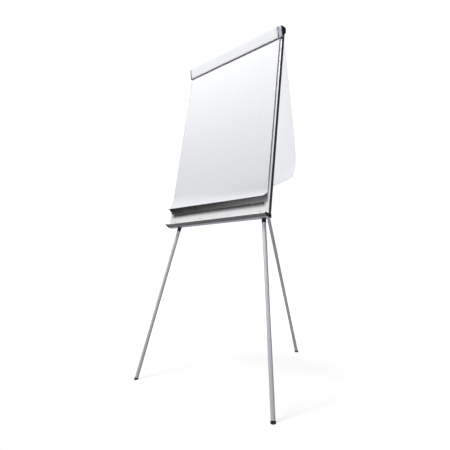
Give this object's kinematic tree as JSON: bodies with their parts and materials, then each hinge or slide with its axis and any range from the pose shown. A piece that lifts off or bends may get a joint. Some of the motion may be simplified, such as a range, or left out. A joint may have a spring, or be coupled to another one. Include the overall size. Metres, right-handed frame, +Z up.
{
  "type": "flipchart easel",
  "caption": "Free-standing tripod flipchart easel with a tilted white board, hinged paper clamp bar, pen tray, paper pad with flipped sheets, telescopic legs and a folding rear leg.",
  "frame": {"origin": "on the floor, in the middle of the footprint of the feet", "axes": "+Z up, the writing side faces -Y, +X to the right of a reader who faces the board"},
  "size_m": [0.9044, 0.923, 1.8434],
  "materials": {
    "white_enamel": "gloss",
    "zinc_sheet": "satin",
    "honeycomb": "matte",
    "dark_trim": "satin",
    "satin_aluminium": "satin",
    "white_tray": "satin",
    "silver_plastic": "satin",
    "black_plastic": "matte",
    "silver_tube": "satin",
    "foot_rubber": "matte",
    "grip_rubber": "matte",
    "zinc_steel": "satin",
    "spring_steel": "polished",
    "bracket_steel": "satin",
    "hook_plastic": "satin",
    "grey_card": "matte",
    "white_paper": "matte"
  },
  "bodies": {
    "board": {"back_screws": "zinc_steel", "board_back_sheet": "zinc_sheet", "board_core": "honeycomb", "bottom_rail": "satin_aluminium", "clamp_collar_left": "black_plastic", "clamp_collar_right": "black_plastic", "clamp_hinge_rod": "zinc_steel", "clamp_spring_left": "spring_steel", "clamp_spring_right": "spring_steel", "end_block_right": "silver_plastic", "end_cap_left": "black_plastic", "end_cap_right": "black_plastic", "flipped_sheets_back": "white_paper", "guide_bush_left": "black_plastic", "guide_bush_right": "black_plastic", "hinge_bracket": "bracket_steel", "hinge_washers": "zinc_steel", "lower_saddle_left": "black_plastic", "lower_saddle_right": "black_plastic", "outer_tube_left": "silver_tube", "outer_tube_right": "silver_tube", "pad_backing_card": "grey_card", "paper_pad": "white_paper", "pen_tray": "white_tray", "rear_hinge_bolt": "zinc_steel", "rear_hinge_nut": "zinc_steel", "side_trim_left": "dark_trim", "side_trim_right": "dark_trim", "top_rail": "satin_aluminium", "tray_end_cap_left": "black_plastic", "tray_end_cap_right": "black_plastic", "tray_screws": "zinc_steel", "tube_top_plug_left": "black_plastic", "tube_top_plug_right": "black_plastic", "upper_saddle_left": "black_plastic", "upper_saddle_right": "black_plastic", "writing_surface": "white_enamel"},
    "clamp_bar": {"clamp_bar": "satin_aluminium", "clamp_grip_strip": "grip_rubber", "flipped_sheets_front": "white_paper"},
    "hook_left": {"pad_hook_left": "hook_plastic"},
    "hook_right": {"pad_hook_right": "hook_plastic"},
    "leg_left": {"inner_tube_left": "silver_tube", "glide_plug_left": "black_plastic", "foot_left": "foot_rubber"},
    "leg_right": {"inner_tube_right": "silver_tube", "glide_plug_right": "black_plastic", "foot_right": "foot_rubber"},
    "rear_leg": {"rear_leg_head": "black_plastic", "outer_tube_rear": "silver_tube", "guide_bush_rear": "black_plastic", "clamp_collar_rear": "black_plastic"},
    "rear_foot": {"inner_tube_rear": "silver_tube", "glide_plug_rear": "black_plastic", "foot_rear": "foot_rubber"},
    "knob_left": {"leg_knob_left": "black_plastic"},
    "knob_right": {"leg_knob_right": "black_plastic"},
    "knob_rear": {"leg_knob_rear": "black_plastic"}
  },
  "joints": [
    {"name": "clamp_bar_open", "type": "hinge", "parent": "board", "child": "clamp_bar", "pos_m": [0, 0.03652, 1.82241], "axis": [-1, 0, 0], "range_deg": [0, 70], "stiffness_Nm_per_rad": 0.12, "springref_deg": -34.38},
    {"name": "hook_left_slide", "type": "slide", "parent": "board", "child": "hook_left", "axis": [1, 0, 0], "range_m": [-0.02, 0.02]},
    {"name": "hook_right_slide", "type": "slide", "parent": "board", "child": "hook_right", "axis": [1, 0, 0], "range_m": [-0.02, 0.02]},
    {"name": "leg_left_slide", "type": "slide", "parent": "board", "child": "leg_left", "axis": [-0.1678, -0.2845, -0.9439], "range_m": [-0.7, 0.04], "stiffness_N_per_m": 20000},
    {"name": "leg_right_slide", "type": "slide", "parent": "board", "child": "leg_right", "axis": [0.1678, -0.2845, -0.9439], "range_m": [-0.7, 0.04], "stiffness_N_per_m": 20000},
    {"name": "rear_leg_fold", "type": "hinge", "parent": "board", "child": "rear_leg", "pos_m": [0, 0.05768, 1.7391], "axis": [-1, 0, 0], "range_deg": [0, 26]},
    {"name": "rear_leg_slide", "type": "slide", "parent": "rear_leg", "child": "rear_foot", "axis": [0, 0.2202, -0.9755], "range_m": [-0.65, 0.04], "stiffness_N_per_m": 20000},
    {"name": "knob_left_turn", "type": "hinge", "parent": "board", "child": "knob_left", "pos_m": [-0.29294, -0.19897, 0.83285], "axis": [0, 0.9575, -0.2886], "range_deg": [0, 360]},
    {"name": "knob_right_turn", "type": "hinge", "parent": "board", "child": "knob_right", "pos_m": [0.29294, -0.19897, 0.83285], "axis": [0, 0.9575, -0.2886], "range_deg": [0, 360]},
    {"name": "knob_rear_turn", "type": "hinge", "parent": "rear_leg", "child": "knob_rear", "pos_m": [0, 0.23558, 0.95092], "axis": [0, 0.9755, 0.2202], "range_deg": [0, 360]}
  ]
}
